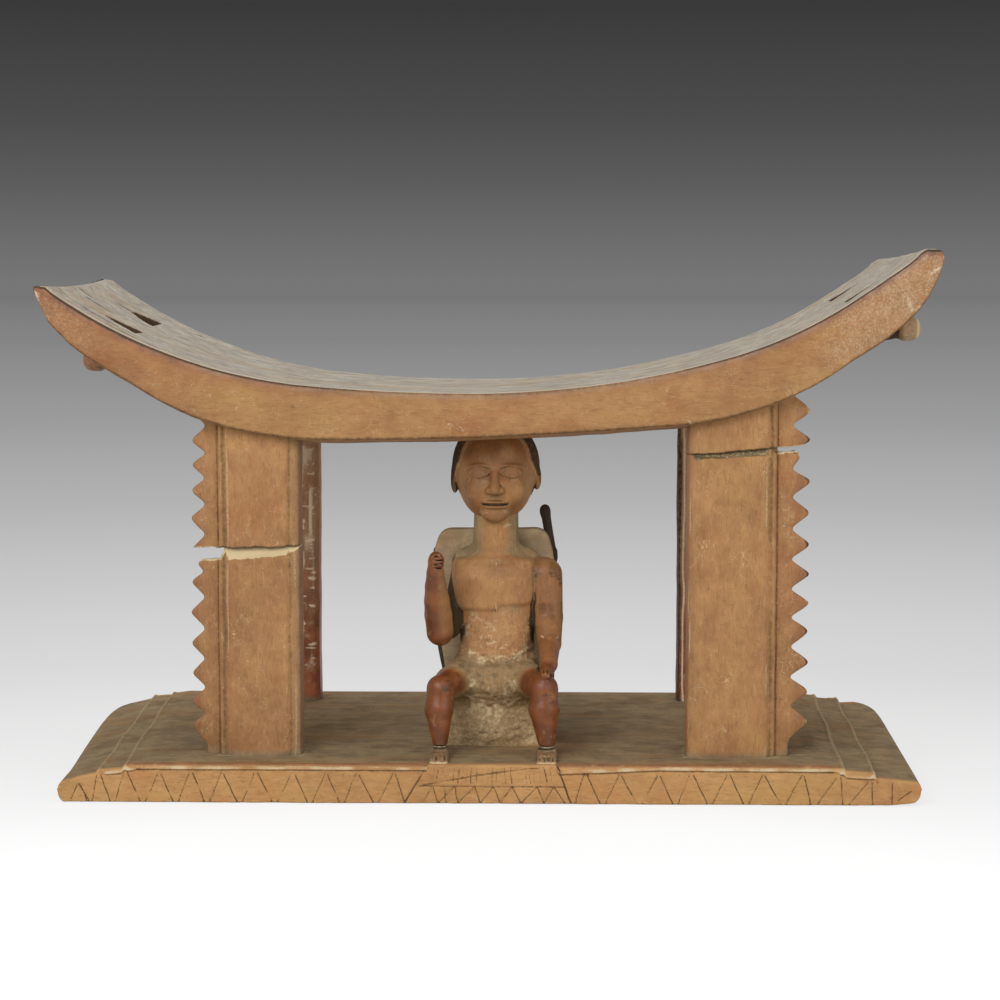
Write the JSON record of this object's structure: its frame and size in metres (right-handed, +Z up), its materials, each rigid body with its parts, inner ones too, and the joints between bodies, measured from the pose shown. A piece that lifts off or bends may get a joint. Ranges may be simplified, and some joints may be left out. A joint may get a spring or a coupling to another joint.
{
  "type": "carved stool",
  "caption": "Low carved wooden stool: curved seat on four toothed posts, with a seated figure between them on a long stepped base board.",
  "frame": {"origin": "middle of the base board's underside, where the stool rests on the floor", "axes": "+X to the right along the stool's length, +Y to the back, +Z up; a viewer in front looks along +Y"},
  "size_m": [0.5894, 0.28, 0.3543],
  "materials": {
    "seat_wood": "worn, dusty pale top, warm brown sides",
    "lug_wood": "worn, dusty",
    "base_wood": "bare golden front, dark dusty deck",
    "post_wood": "worn brown patina, dust in the grooves",
    "teeth_wood": "worn brown patina, pale rubbed edges",
    "figure_wood": "worn brown patina, pale dust in the cuts",
    "limb_wood": "red-brown, polished by touch",
    "chair_wood": "dull, pale with dust",
    "dark_wood": "near black, satin"
  },
  "bodies": {
    "root": {"arm_left_fore": "limb_wood", "arm_left_upper": "limb_wood", "arm_right_fore": "limb_wood", "arm_right_upper": "limb_wood", "base_plinth": "base_wood", "chair_back": "chair_wood", "chair_block": "chair_wood", "chair_finial": "dark_wood", "chair_stile_left": "dark_wood", "chair_stile_right": "dark_wood", "figure_ear_left": "figure_wood", "figure_ear_right": "figure_wood", "figure_head": "figure_wood", "figure_neck": "figure_wood", "figure_torso": "figure_wood", "foot_left": "limb_wood", "foot_right": "limb_wood", "hand_left": "limb_wood", "hand_right": "limb_wood", "post_front_left_lower": "post_wood", "post_front_left_upper": "post_wood", "post_front_right_lower": "post_wood", "post_front_right_upper": "post_wood", "post_rear_left": "post_wood", "post_rear_right": "post_wood", "seat": "seat_wood", "seat_lug_left": "lug_wood", "seat_lug_right": "lug_wood", "shin_left": "limb_wood", "shin_right": "limb_wood", "teeth_front_left_lower": "teeth_wood", "teeth_front_left_upper": "teeth_wood", "teeth_front_right_lower": "teeth_wood", "teeth_front_right_upper": "teeth_wood", "teeth_rear_left": "teeth_wood", "teeth_rear_right": "teeth_wood", "thigh_left": "limb_wood", "thigh_right": "limb_wood"}
  },
  "joints": []
}
